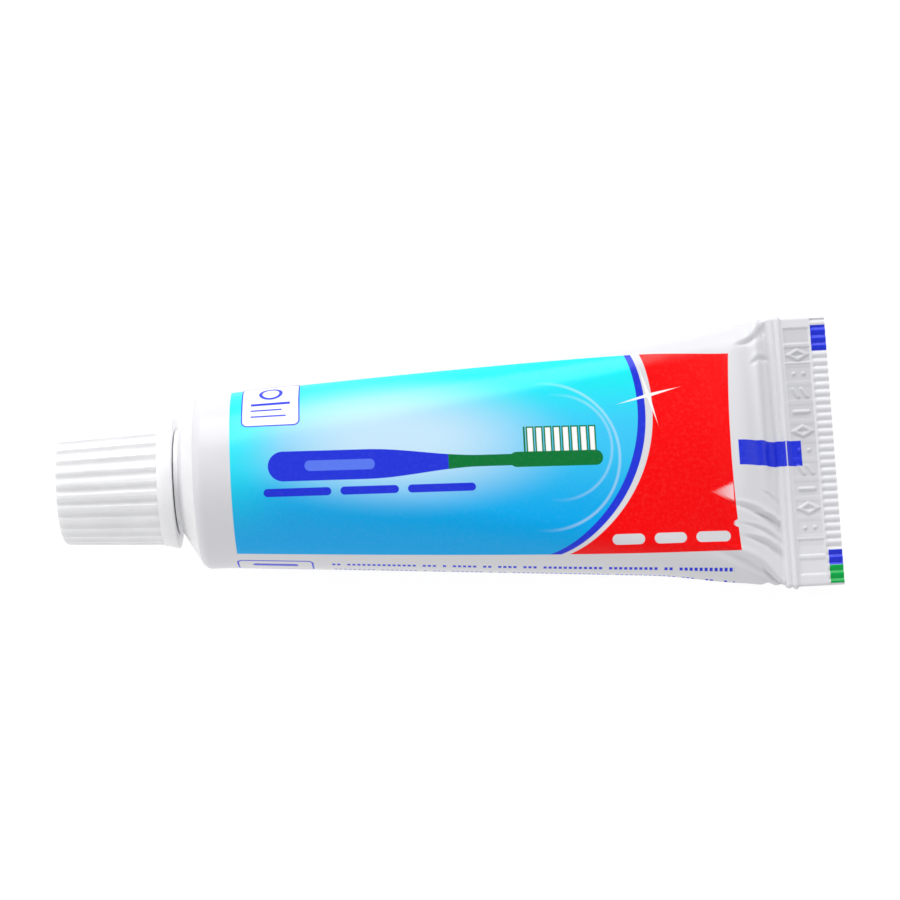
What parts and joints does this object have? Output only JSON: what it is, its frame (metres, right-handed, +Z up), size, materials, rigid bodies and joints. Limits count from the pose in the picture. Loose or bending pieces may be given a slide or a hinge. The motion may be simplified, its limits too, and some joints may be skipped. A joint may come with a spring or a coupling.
{
  "type": "toothpaste tube",
  "caption": "Small laminate squeeze tube lying on its side: round shoulder, wedge body pinched to a flat crimped tail, and a fluted screw cap that unscrews.",
  "frame": {"origin": "middle of the tube's outline, on the surface that it lies on", "axes": "+X towards the crimped tail along the tube, +Z up, +Y across the tail; the cap is at -X"},
  "size_m": [0.0966, 0.0344, 0.0221],
  "materials": {
    "laminate": "glossy printed laminate",
    "shoulder_plastic": "moulded, satin",
    "cap_plastic": "moulded, satin",
    "liner_foam": "foamed, matte",
    "paste": "wet"
  },
  "bodies": {
    "tube": {"sleeve": "laminate", "shoulder": "shoulder_plastic", "toothpaste": "paste"},
    "liner": {"cap_liner": "liner_foam"},
    "cap": {"cap": "cap_plastic"}
  },
  "joints": [
    {"name": "cap_lift", "type": "slide", "parent": "tube", "child": "liner", "axis": [-0.9922, 0, 0.1244], "range_m": [0, 0.012]},
    {"name": "cap_turn", "type": "hinge", "parent": "liner", "child": "cap", "pos_m": [-0.02931, 0, 0.01116], "axis": [-0.9922, 0, 0.1244], "range_deg": [0, 1440]}
  ],
  "couplings": [
    {"joint": "cap_turn", "follows": "cap_lift", "rad_per_m": 2094.4}
  ]
}
